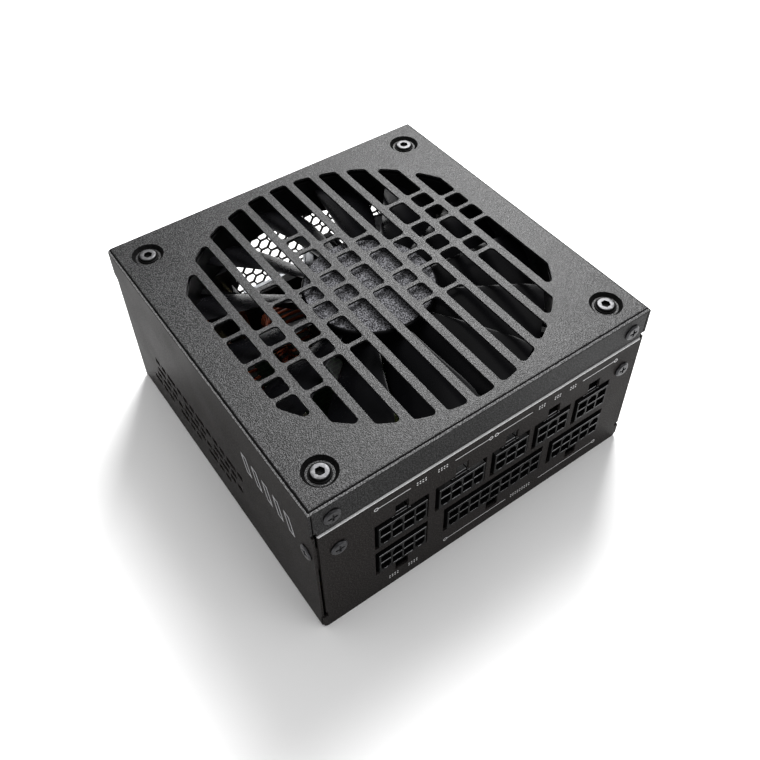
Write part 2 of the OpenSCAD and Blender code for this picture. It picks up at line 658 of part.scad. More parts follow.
rocker_r = 1.3;
pivot_y = rear_y - 1.5;
module switch_frame() color("#18181a") translate([mains_x, 0, switch_z]) difference() {
    union() {
        translate([0, rear_y + 0.02, 0]) rotate([90, 0, 180]) linear_extrude(1.6) round_rect(21, 15, 1.2);
        span([-9.6, rear_y - 14, -6.4], [9.6, rear_y + 0.1, 6.4]);
    }
    span([-8.9, rear_y - 12.6, -5.4], [8.9, rear_y + 3, 5.4]);
    translate([0, pivot_y, -7]) cylinder(r = rocker_r + 0.05, h = 14);
    for (x = terminal_at) span([x - 0.5, rear_y - 16, -2.5], [x + 0.5, rear_y - 10, 2.5]);
}

// Seesaw rocker with a shallow V face, pressed down at one end at rest
module switch_rocker() color("#1f1f21") translate([mains_x, pivot_y, switch_z])
    rotate([0, 0, -rocker_travel / 2]) {
        translate([0, 0, -5.1]) linear_extrude(10.2)
            polygon([[-8, 4.4], [0, 3.4], [8, 4.4], [8.1, 0], [3, -4.4], [-3, -4.4], [-8.1, 0]]);
        translate([0, 0, -6.2]) cylinder(r = rocker_r, h = 12.4);
    }

terminal_at = [-6, 6];
module switch_terminals() color("#c9c6b8") for (x = terminal_at) translate([mains_x + x, 0, switch_z])
    span([-0.4, rear_y - 21, -2.4], [0.4, rear_y - 12.8, 2.4]);

// Leads from the inlet blades and the switch down to the board
pin_end_y = rear_y - 22.5;
tag_end_y = rear_y - 21;
lead_y = 38.2;
module mains_leads() color("#6b3a22") {
    live_x = mains_x + 7;
    wire([[live_x, pin_end_y, inlet_z - 2], [live_x, lead_y, inlet_z - 2], [live_x + 1, lead_y - 0.6, 27],
        [mains_x + 6, lead_y, switch_z], [mains_x + 6, tag_end_y, switch_z]], 1.3);
    wire([[mains_x - 6, tag_end_y, switch_z], [mains_x - 6, lead_y, switch_z], [-49, lead_y, 30],
        [-49, lead_y, board_top]], 1.3);
    wire([[mains_x - 7, pin_end_y, inlet_z - 2], [mains_x - 7, lead_y, inlet_z - 2],
        [mains_x - 7, lead_y, board_top]], 1.3);
    wire([[mains_x, pin_end_y, inlet_z + 2], [mains_x, lead_y - 0.8, inlet_z + 2],
        [mains_x, lead_y - 0.8, board_top]], 1.3);
}

// ---------------------------------------------------------------- parts on the main board

choke_at = [[-40, 24], [-40, -3]];
module choke_cores() color("#3d4a3f") for (p = choke_at) translate([p.x, p.y, board_top + 11.4])
    toroid_core(9, 4.6, 8);
module choke_windings() color("#b4622d") for (p = choke_at) translate([p.x, p.y, board_top + 11.4])
    toroid_turns(9, 4.6, 8, 14, 0.6);

module line_capacitors() color("#d7b13a") {
    span([-57.4, 10, board_top], [-48, 28, board_top + 16]);
    span([-57.4, -14, board_top], [-48, 4, board_top + 15]);
}

module safety_capacitors() color("#2f66b0") for (y = [-22, -28]) {
    translate([-24.4, y, board_top + 7]) rotate([90, 0, 0]) cylinder(r = 4.5, h = 2.6, center = true);
    for (x = [-27, -22]) span([x - 0.3, y - 0.3, board_top], [x + 0.3, y + 0.3, board_top + 6]);
}

module fuse() color("#cfc8b4") {
    translate([-29, -4, board_top + 3.4]) rotate([-90, 0, 0]) cylinder(r = 2.6, h = 16);
    for (y = [-4.4, 7.4]) translate([-29, y, board_top + 3.4]) rotate([-90, 0, 0]) cylinder(r = 3, h = 5);
    for (y = [-2, 10]) span([-29.4, y - 0.4, board_top], [-28.6, y + 0.4, board_top + 3]);
}

module thermistor() color("#2d5c3c") {
    translate([-27.4, -14, board_top + 8.6]) rotate([90, 0, 0]) cylinder(r = 6.4, h = 4, center = true);
    for (x = [-31, -24]) span([x - 0.4, -14.4, board_top], [x + 0.4, -13.6, board_top + 6]);
}

module relay() color("#d9d6cc") span([-57.4, -36, board_top], [-46, -19, board_top + 15]);

module bridge_rectifier() color("#1c1c1e") {
    difference() {
        span([-22.3, 46, board_top + 3], [3, 49.6, board_top + 23]);
        translate([-10, 44, board_top + 18]) rotate([-90, 0, 0]) cylinder(r = 1.7, h = 8);
    }
    for (x = [-20, -13.5, -7, -0.5]) span([x, 47.3, board_top], [x + 1.2, 48.3, board_top + 3.2]);
}

// Plate behind the rectifier with a pack of thin fins beside it
module bridge_heatsink() color("#a9acb0") {
    span([-22, 49.65, board_top], [17.2, 51.05, board_top + 23]);
    span([4.2, 49.65, board_top], [17.2, 51.05, 39]);
    for (i = [0:7]) span([4.4 + i * 1.75, 43.6, board_top + 6], [4.95 + i * 1.75, 49.7, 39]);
}

pfc_at = [-17, 26, board_top + 15.4];
module pfc_core() color("#4a4f3e") translate(pfc_at) toroid_core(12.6, 6.6, 10);
module pfc_winding() color("#9a4422") translate(pfc_at) toroid_turns(12.6, 6.6, 10, 22, 0.65);

module bulk_capacitor() color("#20283a") translate([34, 35, board_top]) can(15, 32);

module primary_heatsink() color("#a9acb0") {
    span([-4, 11, board_top], [55, 13.4, 40]);
    for (i = [0:10]) span([-3 + i * 5.6, 4.6, 27], [-1.8 + i * 5.6, 11.1, 40]);
}

module power_transistors() color("#1a1a1c") for (x = [-2, 15, 32]) {
    span([x, 13.45, board_top + 6], [x + 15.6, 18, board_top + 26]);
    for (k = [0:2]) span([x + 2 + k * 5.4, 15.2, board_top], [x + 3.2 + k * 5.4, 15.9, board_top + 6.1]);
}

module transformer_core() color("#2c2d30") translate([18, -15, board_top + 2]) difference() {
    span([-17, -8, 0], [17, 8, 28]);
    for (s = [-1, 1]) translate([s * 9, 0, 14]) cube([7.6, 20, 19], center = true);
}

module transformer_winding() color("#c9a23a") translate([18, -15, board_top + 2]) difference() {
    span([-12.4, -12.4, 4.9], [12.4, 12.4, 23.1]);
    span([-5.3, -8.1, 4], [5.3, 8.1, 24]);
}

module resonant_choke() color("#2c2d30") {
    span([-13, -23, board_top], [-4.4, -7, board_top + 20]);
    span([-16, -19.5, board_top + 3], [-13 + eps, -10.5, board_top + 17]);
}

module standby_transformer() color("#c9a23a") {
    span([-43, -42, board_top + 1], [-30, -29, board_top + 15]);
    span([-45, -39, board_top], [-28.8, -32, board_top + 17]);
}

module control_board() color("#6d7a33") span([-22, -37.4, board_top], [14, -35.8, 44]);

module secondary_heatsink() color("#c3c6ca") {
    span([-28, -42.2, board_top], [-8, -40.2, 43]);
    span([-8 - eps, -42.2, board_top], [14, -40.2, 30]);
}

can_at = [[51.5, -8], [51.5, -19], [51.5, -31], [27, -40.5], [19.8, -32.8], [41.5, -11]];
module output_capacitors() color("#2d3a63") for (p = can_at) translate([p.x, p.y, board_top]) can(4.9, 22);

top_cover();
base_tub();
connector_panel();
rear_panel();
cover_screws();
fan_screws();
panel_screws();
side_screws();
side_badge();
insulation_sheet();
fan_frame();
fan_bearing();
fan_stator();
fan_coils();
fan_board();
fan_rotor();
rotor_yoke();
rotor_magnet();
fan_shaft();
shaft_clip();
fan_lead();
fan_plug();
main_board();
board_standoffs();
board_screws();
modular_board();
board_spacers();
board_bars();
eight_pin_sockets();
six_pin_sockets();
eighteen_pin_socket();
ten_pin_socket();
socket_pins();
inlet_body();
inlet_pins();
switch_frame();
switch_rocker();
switch_terminals();
mains_leads();
choke_cores();
choke_windings();
line_capacitors();
safety_capacitors();
fuse();
thermistor();
relay();
bridge_rectifier();
bridge_heatsink();
pfc_core();
pfc_winding();
bulk_capacitor();
primary_heatsink();
power_transistors();
transformer_core();
transformer_winding();
resonant_choke();
standby_transformer();
control_board();
secondary_heatsink();
output_capacitors();
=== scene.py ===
"""Looks of the compact power supply: materials, softened sheet edges, fan, windings, wires, prints."""
import json
import math

import bmesh
import bpy
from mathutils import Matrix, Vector


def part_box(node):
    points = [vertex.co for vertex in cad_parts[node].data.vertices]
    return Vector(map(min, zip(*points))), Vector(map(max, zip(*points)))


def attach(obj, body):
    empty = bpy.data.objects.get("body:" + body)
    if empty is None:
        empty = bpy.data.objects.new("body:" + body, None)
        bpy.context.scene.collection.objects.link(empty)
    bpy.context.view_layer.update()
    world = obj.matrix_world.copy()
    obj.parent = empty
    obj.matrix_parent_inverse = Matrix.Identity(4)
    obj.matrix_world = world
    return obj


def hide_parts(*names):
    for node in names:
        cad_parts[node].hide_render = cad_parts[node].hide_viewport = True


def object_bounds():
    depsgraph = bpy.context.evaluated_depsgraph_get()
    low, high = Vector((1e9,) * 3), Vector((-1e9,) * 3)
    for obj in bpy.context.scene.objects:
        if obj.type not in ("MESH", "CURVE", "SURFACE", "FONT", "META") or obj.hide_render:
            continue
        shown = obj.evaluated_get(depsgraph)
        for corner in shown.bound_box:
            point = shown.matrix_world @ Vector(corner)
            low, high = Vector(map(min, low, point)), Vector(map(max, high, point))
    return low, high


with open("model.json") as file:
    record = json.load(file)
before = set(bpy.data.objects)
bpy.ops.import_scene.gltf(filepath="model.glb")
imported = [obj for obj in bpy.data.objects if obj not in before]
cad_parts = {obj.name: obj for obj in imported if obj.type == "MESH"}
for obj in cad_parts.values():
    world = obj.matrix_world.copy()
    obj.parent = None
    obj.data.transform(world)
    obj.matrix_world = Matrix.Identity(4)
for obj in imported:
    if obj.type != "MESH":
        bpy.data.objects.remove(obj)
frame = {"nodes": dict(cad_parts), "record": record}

cad_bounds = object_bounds()
MM = 0.001
TAU = 2 * math.pi
NODES = frame["nodes"]

# ---------------------------------------------------------------- camera, light and floor

FRAME_PX = 760
FOCAL_PX = 886.8
SENSOR_MM = 36
CAMERA_AT = Vector((-114.48, -171.29, 258.30)) * MM
CAMERA_TURN = (0.766, 0.013, -0.618)
CAMERA_SHIFT_Y = -60 / FRAME_PX


def make_camera():
    data = bpy.data.cameras.new("camera")
    data.sensor_width = SENSOR_MM
    data.lens = FOCAL_PX / FRAME_PX * SENSOR_MM
    data.shift_y = CAMERA_SHIFT_Y
    data.clip_start = 0.01
    camera = bpy.data.objects.new("camera", data)
    camera.location = CAMERA_AT
    camera.rotation_euler = CAMERA_TURN
    bpy.context.collection.objects.link(camera)
    bpy.context.scene.camera = camera


WHITE = (1.0, 1.0, 1.0)
# Name, place in metres, width and height in metres, power in watts and colour of each light.
LIGHTS = (("key_softbox", (0.45, 0.43, 0.70), (0.44, 0.44), 17, WHITE),
          ("overhead", (-0.05, 0.0, 1.5), (1.4, 1.4), 11, WHITE),
          ("front_strip", (0.42, -0.86, 0.56), (0.7, 0.08), 1.6, WHITE),
          ("left_strip", (-0.90, 0.50, 0.42), (0.5, 0.06), 0.15, (1.0, 0.95, 0.90)))
WORLD_STRENGTH = 0.3


def area_light(name, at, target, size, power, colour):
    data = bpy.data.lights.new(name, "AREA")
    data.shape = "RECTANGLE"
    data.size, data.size_y = size
    data.energy = power
    data.color = colour
    lamp = bpy.data.objects.new(name, data)
    lamp.location = at
    lamp.rotation_euler = (Vector(target) - Vector(at)).to_track_quat("-Z", "Y").to_euler()
    bpy.context.collection.objects.link(lamp)


def make_lights():
    middle = (cad_bounds[0] + cad_bounds[1]) / 2
    for name, at, size, power, colour in LIGHTS:
        area_light(name, at, middle, size, power, colour)
    world = bpy.data.worlds.new("studio")
    world.use_nodes = True
    background = world.node_tree.nodes["Background"]
    background.inputs["Color"].default_value = (*WHITE, 1)
    background.inputs["Strength"].default_value = WORLD_STRENGTH
    bpy.context.scene.world = world
    bpy.context.scene.view_settings.view_transform = "Standard"


# ---------------------------------------------------------------- materials

# Sockets of the Principled surface, by the names that the makers below give them.
SOCKETS = {"metallic": "Metallic", "roughness": "Roughness", "ior": "IOR", "coat_weight": "Coat Weight",
           "coat_roughness": "Coat Roughness"}


class Shader:
    """A material under construction: a Principled surface and helpers that add nodes to it."""

    def __init__(self, name, **values):
        self.material = bpy.data.materials.new(name)
        self.material.use_nodes = True
        self.tree = self.material.node_tree
        self.surface = self.tree.nodes["Principled BSDF"]
        for key, value in values.items():
            self.surface.inputs[SOCKETS[key]].default_value = value
        self.coords = self.tree.nodes.new("ShaderNodeTexCoord").outputs["Object"]

    def node(self, kind, **settings):
        made = self.tree.nodes.new("ShaderNode" + kind)
        for key, value in settings.items():
            if hasattr(made, key):
                setattr(made, key, value)
            else:
                made.inputs[key].default_value = value
        return made

    def link(self, a, b):
        self.tree.links.new(a, b)

    def noise(self, grain_mm, detail=3.0, stretch=None):
        """Noise whose blobs are about grain_mm across."""
        source = self.coords
        if stretch:
            mapping = self.node("Mapping")
            mapping.inputs["Scale"].default_value = stretch
            self.link(source, mapping.inputs["Vector"])
            source = mapping.outputs["Vector"]
        made = self.node("TexNoise", Scale=1 / (grain_mm * MM), Detail=detail)
        self.link(source, made.inputs["Vector"])
        return made.outputs["Fac"]

    def ramp(self, source, *stops):
        """Colours between stops, each a place from 0 to 1 and a colour or a shade of grey."""
        made = self.node("ValToRGB")
        ramp = made.color_ramp
        while len(ramp.elements) < len(stops):
            ramp.elements.new(0.5)
        for element, (place, colour) in zip(ramp.elements, stops):
            element.position = place
            element.color = (*colour, 1) if hasattr(colour, "__len__") else (colour, colour, colour, 1)
        self.link(source, made.inputs["Fac"])
        return made.outputs["Color"]

    def colour(self, source):
        self.link(source, self.surface.inputs["Base Color"])

    def rough(self, source, low, high):
        made = self.node("MapRange")
        made.inputs["To Min"].default_value = low
        made.inputs["To Max"].default_value = high
        self.link(source, made.inputs["Value"])
        self.link(made.outputs["Result"], self.surface.inputs["Roughness"])

    def bump(self, source, depth_mm, strength):
        made = self.node("Bump")
        made.inputs["Strength"].default_value = strength
        made.inputs["Distance"].default_value = depth_mm * MM
        self.link(source, made.inputs["Height"])
        self.link(made.outputs["Normal"], self.surface.inputs["Normal"])


def shade(colour, factor):
    return tuple(min(1.0, c * factor) for c in colour)


GLINT = 2.6  # how much further a coat's light grains go than its dark ones


def powder_coat(name, colour, grain_mm, contrast, bump_mm, rough, ior):
    """Textured paint with darker hollows and lighter grains."""
    s = Shader(name, ior=ior)
    grains = s.noise(grain_mm, 2.0)
    s.colour(s.ramp(grains, (0.4, shade(colour, 1 - contrast)), (0.5, colour),
                    (0.62, shade(colour, 1 + contrast * GLINT))))
    s.rough(s.noise(14, 2.0), *rough)
    s.bump(grains, bump_mm, 0.8)
    return s.material


def moulded(name, colour, rough, ior=1.45):
    """Plastic with a faint grain."""
    s = Shader(name, ior=ior)
    s.colour(s.ramp(s.noise(9, 3.0), (0.3, shade(colour, 0.85)), (0.7, shade(colour, 1.15))))
    s.rough(s.noise(5, 2.0), *rough)
    s.bump(s.noise(0.3, 2.0), 0.012, 0.6)
    return s.material


def metal(name, colour, rough=(0.22, 0.38), stretch=(1, 1, 12), grain_mm=0.6, bump_mm=0.006):
    """Bare or plated metal. A larger number in stretch makes the streaks finer along that axis."""
    s = Shader(name, metallic=1.0)
    streaks = s.noise(grain_mm, 3.0, stretch)
    s.colour(s.ramp(s.noise(6, 3.0), (0.3, shade(colour, 0.82)), (0.7, colour)))
    s.rough(streaks, *rough)
    s.bump(streaks, bump_mm, 0.5)
    return s.material


def enamelled_copper(name, colour):
    s = Shader(name, metallic=0.75, coat_weight=0.6, coat_roughness=0.12)
    s.colour(s.ramp(s.noise(2.5, 3.0), (0.3, shade(colour, 0.65)), (0.7, colour)))
    s.rough(s.noise(1.2, 2.0), 0.22, 0.4)
    s.bump(s.noise(0.5, 2.0), 0.01, 0.5)
    return s.material


def circuit_board(name, colour, copper):
    """Solder mask over tracks: raised copper shows as lighter lines under the lacquer."""
    s = Shader(name, coat_weight=0.3, coat_roughness=0.25)
    tracks = s.node("TexBrick", Scale=140.0)
    s.link(s.coords, tracks.inputs["Vector"])
    tracks.inputs["Mortar Size"].default_value = 0.03
    tracks.inputs["Color1"].default_value = (*colour, 1)
    tracks.inputs["Color2"].default_value = (*shade(colour, 1.25), 1)
    tracks.inputs["Mortar"].default_value = (*copper, 1)
    s.colour(tracks.outputs["Color"])
    s.rough(s.noise(3, 3.0), 0.3, 0.5)
    s.bump(tracks.outputs["Fac"], 0.03, 0.6)
    return s.material


def ferrite(name, colour):
    s = Shader(name)
    s.colour(s.ramp(s.noise(0.8, 4.0), (0.3, shade(colour, 0.7)), (0.7, shade(colour, 1.3))))
    s.rough(s.noise(2, 2.0), 0.45, 0.65)
    s.bump(s.noise(0.25, 3.0), 0.03, 0.7)
    return s.material


def sleeve(name, colour):
    """Shrink sleeve with faint lengthwise creases."""
    s = Shader(name, coat_weight=0.3, coat_roughness=0.2)
    s.colour(s.ramp(s.noise(7, 2.0), (0.35, shade(colour, 0.8)), (0.65, shade(colour, 1.2))))
    s.rough(s.noise(4, 2.0), 0.25, 0.38)
    s.bump(s.noise(1.6, 2.0, (1, 1, 0.15)), 0.02, 0.5)
    return s.material


def tape(name, colour):
    """Overlapped polyester tape turns."""
    s = Shader(name, coat_weight=0.4, coat_roughness=0.1)
    bands = s.node("TexWave", bands_direction="Z", Scale=60.0, Distortion=1.0)
    s.link(s.coords, bands.inputs["Vector"])
    s.colour(s.ramp(bands.outputs["Fac"], (0.2, shade(colour, 0.8)), (0.8, colour)))
    s.rough(s.noise(3, 2.0), 0.25, 0.4)
    s.bump(bands.outputs["Fac"], 0.05, 0.4)
    return s.material


def print_ink(name, colour):
    """Slightly uneven ink; also a painted highlight line."""
    s = Shader(name)
    s.colour(s.ramp(s.noise(0.5, 3.0), (0.3, shade(colour, 0.85)), (0.6, colour)))
    s.rough(s.noise(1.0, 2.0), 0.4, 0.6)
    s.bump(s.noise(0.35, 2.0), 0.01, 0.5)
    return s.material


def make_materials():
    return {
        "cover_paint": powder_coat("cover_paint", (0.014, 0.014, 0.0144), 0.36, 0.95, 0.17,
                                   (0.27, 0.36), 1.24),
        "case_paint": powder_coat("case_paint", (0.019, 0.0172, 0.0166), 0.5, 0.3, 0.03,
                                  (0.34, 0.5), 1.08),
        # Light grey paint: a painted highlight along the cover's bends.
        "bend_highlight": powder_coat("bend_highlight", (0.15, 0.15, 0.152), 0.42, 0.5, 0.03,
                                  (0.3, 0.4), 1.25),
        # A less glossy copy of the cover paint, which looks darker: painted shade on the cover's front and
        # back flanges.
        "flange_shaded_paint": powder_coat("flange_shaded_paint", (0.021, 0.021, 0.0213), 0.44, 0.5, 0.05,
                                    (0.34, 0.45), 1.12),
        "mark_ink": print_ink("mark_ink", (0.33, 0.33, 0.34)),
        # Near-black paint: painted shade on the dish walls round the fan screws, along the cover's bends,
        # and in the fan screws' sockets and on their flanges.
        "painted_shade": powder_coat("painted_shade", (0.003, 0.003, 0.003), 0.5, 0.3, 0.03,
                                    (0.5, 0.6), 1.1),
        # Near-white: a painted highlight where light catches the connector panel's top edge at the seam.
        "seam_highlight": print_ink("seam_highlight", (0.85, 0.85, 0.86)),
        # Light grey plastic: a painted highlight on the socket bevels that face up and forward.
        "socket_edge_highlight": moulded("socket_edge_highlight", (0.3, 0.3, 0.31), (0.4, 0.55)),
        "black_screw": metal("black_screw", (0.05, 0.05, 0.053), (0.3, 0.45)),
        # Lighter screw metal: a painted highlight on the upward faces of the fan screws' heads.
        "screw_top_highlight": metal("screw_top_highlight", (0.085, 0.085, 0.088), (0.38, 0.55), (1, 1, 1), 0.35, 0.04),
        "badge": print_ink("badge", (0.68, 0.68, 0.69)),
        "film": moulded("film", (0.55, 0.48, 0.28), (0.15, 0.3)),
        "fan_plastic": moulded("fan_plastic", (0.003, 0.003, 0.0033), (0.4, 0.55), ior=1.2),
        "rotor_plastic": moulded("rotor_plastic", (0.0025, 0.0025, 0.003), (0.22, 0.34), ior=1.14),
        "hub_top": powder_coat("hub_top", (0.05, 0.05, 0.054), 0.42, 0.8, 0.12, (0.5, 0.65), 1.08),
        "bronze": metal("bronze", (0.6, 0.45, 0.22)),
        "steel": metal("steel", (0.55, 0.55, 0.57)),
        "lamination": metal("lamination", (0.3, 0.3, 0.31), (0.35, 0.5), (1, 1, 30)),
        "magnet": ferrite("magnet", (0.04, 0.04, 0.042)),
        "copper": enamelled_copper("copper", (0.5, 0.11, 0.04)),
        "fan_pcb": circuit_board("fan_pcb", (0.03, 0.12, 0.05), (0.1, 0.3, 0.12)),
        "black_wire": moulded("black_wire", (0.012, 0.012, 0.013), (0.3, 0.45)),
        "mains_wire": moulded("mains_wire", (0.12, 0.035, 0.015), (0.3, 0.45)),
        "white_plastic": moulded("white_plastic", (0.72, 0.7, 0.64), (0.35, 0.5)),
        "pcb": circuit_board("pcb", (0.008, 0.022, 0.01), (0.03, 0.07, 0.03)),
        "control_pcb": circuit_board("control_pcb", (0.1, 0.13, 0.03), (0.3, 0.36, 0.12)),
        "socket_plastic": moulded("socket_plastic", (0.002, 0.002, 0.0022), (0.4, 0.55), ior=1.2),
        "contact": metal("contact", (0.7, 0.6, 0.36), (0.15, 0.3)),
        "mains_plastic": moulded("mains_plastic", (0.012, 0.012, 0.014), (0.25, 0.4)),
        "ferrite": ferrite("ferrite", (0.05, 0.055, 0.05)),
        "film_box": moulded("film_box", (0.65, 0.45, 0.06), (0.2, 0.35)),
        "disc_blue": moulded("disc_blue", (0.03, 0.12, 0.42), (0.2, 0.35)),
        "fuse_body": moulded("fuse_body", (0.6, 0.56, 0.46), (0.2, 0.35)),
        "disc_green": moulded("disc_green", (0.04, 0.14, 0.07), (0.4, 0.55)),
        "chip_black": moulded("chip_black", (0.02, 0.02, 0.022), (0.45, 0.6)),
        "can_sleeve": sleeve("can_sleeve", (0.004, 0.005, 0.018)),
        "can_stripe": sleeve("can_stripe", (0.35, 0.37, 0.42)),
        "can_top": metal("can_top", (0.7, 0.71, 0.74), (0.25, 0.4)),
        "heatsink": metal("heatsink", (0.42, 0.43, 0.45), (0.35, 0.5)),
        "tape": tape("tape", (0.62, 0.42, 0.06)),
    }


def paint(obj, material):
    obj.data.materials.clear()
    obj.data.materials.append(material)


# ---------------------------------------------------------------- mesh helpers

SLOT_OF = {row["node"]: row["material_slot"] for row in frame["record"]["subparts"]}
BODIES = frame["record"]["behaviour"]["bodies"]
BODY_OF = {node: body for body, members in BODIES.items() for node in members}
WELD = 1e-6


def new_piece(name, mesh, body, slot, materials=(), stands_for=()):
    """An object that rides on a body, with its slot's material first unless others are named."""
    obj = bpy.data.objects.new(name, mesh)
    bpy.context.collection.objects.link(obj)
    for material in materials or (slot,):
        obj.data.materials.append(MATERIALS[material])
    normals = obj.modifiers.new("even_shading", "WEIGHTED_NORMAL")
    normals.keep_sharp = True
    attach(obj, body)
    for node in stands_for:
        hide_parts(node)
    return obj


def mesh_from(bm, name, smooth_deg=30):
    """Turns a finished bmesh into a mesh that is smooth up to an angle, and frees it."""
    mesh = bpy.data.meshes.new(name)
    bmesh.ops.recalc_face_normals(bm, faces=bm.faces)
    bm.to_mesh(mesh)
    bm.free()
    mesh.shade_smooth()
    mesh.set_sharp_from_angle(angle=math.radians(smooth_deg))
    return mesh


def skin(bm, rings, slot=0):
    """Quads between neighbouring rings of vertices, all of one length."""
    count = len(rings[0])
    for a, b in zip(rings, rings[1:]):
        for k in range(count):
            face = bm.faces.new((a[k], a[(k + 1) % count], b[(k + 1) % count], b[k]))
            face.material_index = slot


def tube(bm, path, radius, sides=8, slot=0):
    """A round wire with flat ends along a list of points."""
    rings = []
    across = None
    for n, point in enumerate(path):
        ahead = (path[min(n + 1, len(path) - 1)] - path[max(n - 1, 0)]).normalized()
        across = across or ahead.orthogonal().normalized()
        across = (across - ahead * across.dot(ahead)).normalized()
        up = ahead.cross(across)
        rings.append([bm.verts.new(point + radius * (math.cos(a) * across + math.sin(a) * up))
                      for a in (TAU * k / sides for k in range(sides))])
    skin(bm, rings, slot=slot)
    for ring in (rings[0], rings[-1]):
        bm.faces.new(ring).material_index = slot


def smooth_path(points, steps=6):
    """Catmull-Rom curve through a list of points."""
    p = [Vector(q) for q in points]
    p = [2 * p[0] - p[1]] + p + [2 * p[-1] - p[-2]]
    out = []
    for a, b, c, d in zip(p, p[1:], p[2:], p[3:]):
        for k in range(steps):
            t = k / steps
            out.append(0.5 * (2 * b + (c - a) * t + (2 * a - 5 * b + 4 * c - d) * t * t
                              + (3 * b - a - 3 * c + d) * t ** 3))
    return out + [p[-2]]


def lathe(bm, profile, at=(0, 0, 0), segments=48, slots=None):
    """Turns a profile of (radius, height) in metres about a vertical axis through at."""
    at = Vector(at)
    rings = []
    for r, z in profile:
        if r == 0:
            rings.append([bm.verts.new(at + Vector((0, 0, z)))])
        else:
            rings.append([bm.verts.new(at + Vector((r * math.cos(a), r * math.sin(a), z)))
                          for a in (TAU * k / segments for k in range(segments))])
    for n, (a, b) in enumerate(zip(rings, rings[1:])):
        for k in range(segments):
            j = (k + 1) % segments
            corners = [a[k % len(a)], a[j % len(a)], b[j % len(b)], b[k % len(b)]]
            corners = list(dict.fromkeys(corners))
            if len(corners) > 2:
                bm.faces.new(corners).material_index = slots[n] if slots else 0


def slab(bm, outline, low, high, axis="z", slot=0):
    """A flat plate: an outline of 2-D points between two levels along axis."""
    place = {"x": lambda a, b, h: (h, a, b),
             "y": lambda a, b, h: (a, h, b),
             "z": lambda a, b, h: (a, b, h)}[axis]
    bottom = [bm.verts.new(place(a, b, low)) for a, b in outline]
    top = [bm.verts.new(place(a, b, high)) for a, b in outline]
    skin(bm, [bottom, top], slot=slot)
    for ring in (bottom, top):
        bm.faces.new(ring).material_index = slot


def rectangle(x0, y0, x1, y1):
    """Outline of a rectangle between two corners."""
    return [(x0, y0), (x1, y0), (x1, y1), (x0, y1)]


def arc(cx, cy, r, start, stop, count):
    """Points along an arc, both ends included."""
    return [(cx + r * math.cos(a), cy + r * math.sin(a))
            for a in (start + (stop - start) * k / count for k in range(count + 1))]


def solid_places(node):
    """Middle, levels and radius of each separate solid in a node."""
    bm = bmesh.new()
    bm.from_mesh(NODES[node].data)
    bmesh.ops.remove_doubles(bm, verts=bm.verts, dist=WELD)
    left, places = set(bm.verts), []
    while left:
        shell, reach = set(), [left.pop()]
        while reach:
            vert = reach.pop()
            shell.add(vert)
            for edge in vert.link_edges:
                other = edge.other_vert(vert)
                if other in left:
                    left.discard(other)
                    reach.append(other)
        xs, ys, zs = zip(*(v.co for v in shell))
        places.append(((min(xs) + max(xs)) / 2, (min(ys) + max(ys)) / 2, min(zs), max(zs),
                       (max(xs) - min(xs)) / 2))
    bm.free()
    return sorted(places)


FLAT_DEG = 0.6
SHARP = math.radians(34)


def softened(node, width_mm, segments):
    """The mesh of a CAD node with its sharp edges rounded off, as paint or moulding rounds them."""
    bm = bmesh.new()
    bm.from_mesh(NODES[node].data)
    bmesh.ops.remove_doubles(bm, verts=bm.verts, dist=WELD)
    bmesh.ops.dissolve_limit(bm, angle_limit=math.radians(FLAT_DEG), verts=bm.verts, edges=bm.edges)
    sharp = [e for e in bm.edges if len(e.link_faces) == 2 and e.calc_face_angle(0) > SHARP]
    bmesh.ops.bevel(bm, geom=sharp, offset=width_mm * MM, offset_type="OFFSET", segments=segments,
                    profile=0.5, affect="EDGES", clamp_overlap=True)
    bmesh.ops.triangulate(bm, faces=[f for f in bm.faces if len(f.verts) > 4])
    return bm


def soften(node, width_mm, segments=2, extras=(), pick=None):
    """Replaces a node by its softened copy. pick gives a face 0 for the slot's own material, or the
    place of another in extras, counted from 1."""
    bm = softened(node, width_mm, segments)
    slot = SLOT_OF[node]
    if pick:
        bm.normal_update()
        for face in bm.faces:
            face.material_index = int(pick(face))
    mesh = mesh_from(bm, node + "_finished")
    return new_piece(node + "_finished", mesh, BODY_OF[node], slot, (slot, *extras), [node])


MATERIALS = make_materials()
make_camera()
make_lights()
for name, obj in NODES.items():
    paint(obj, MATERIALS[SLOT_OF[name]])

# ---------------------------------------------------------------- sheet metal and mouldings

COVER_LOW, COVER_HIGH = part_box("top_cover")
CASE_TOP = COVER_HIGH.z
PANEL_FRONT_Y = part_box("connector_panel")[0].y
SEAM_Z = COVER_LOW.z - 0.2 * MM
SCREW_XY = [(x, y) for x, y, low, high, r in solid_places("fan_screws")]
DISH_WALL_R = (4.1 * MM, 5.3 * MM)
DISH_DEPTH = 0.1 * MM
BEND_REACH = 2 * MM
UPRIGHT_UP, SHADE_LINE_UP, LEVEL_UP = 0.42, 0.78, 0.97
# Places of the cover's materials: top paint, painted shade, the side flanges' painted shade, the bends'
# painted highlight, and the front and back flanges' painted shade.
TOP_PAINT, PAINTED_SHADE, SHADED_SIDE, EDGE, SHADED_FLANGE = range(5)


def from_screw(point):
    """Distance across the cover to the nearest fan screw's axis."""
    return min(math.hypot(point.x - x, point.y - y) for x, y in SCREW_XY)


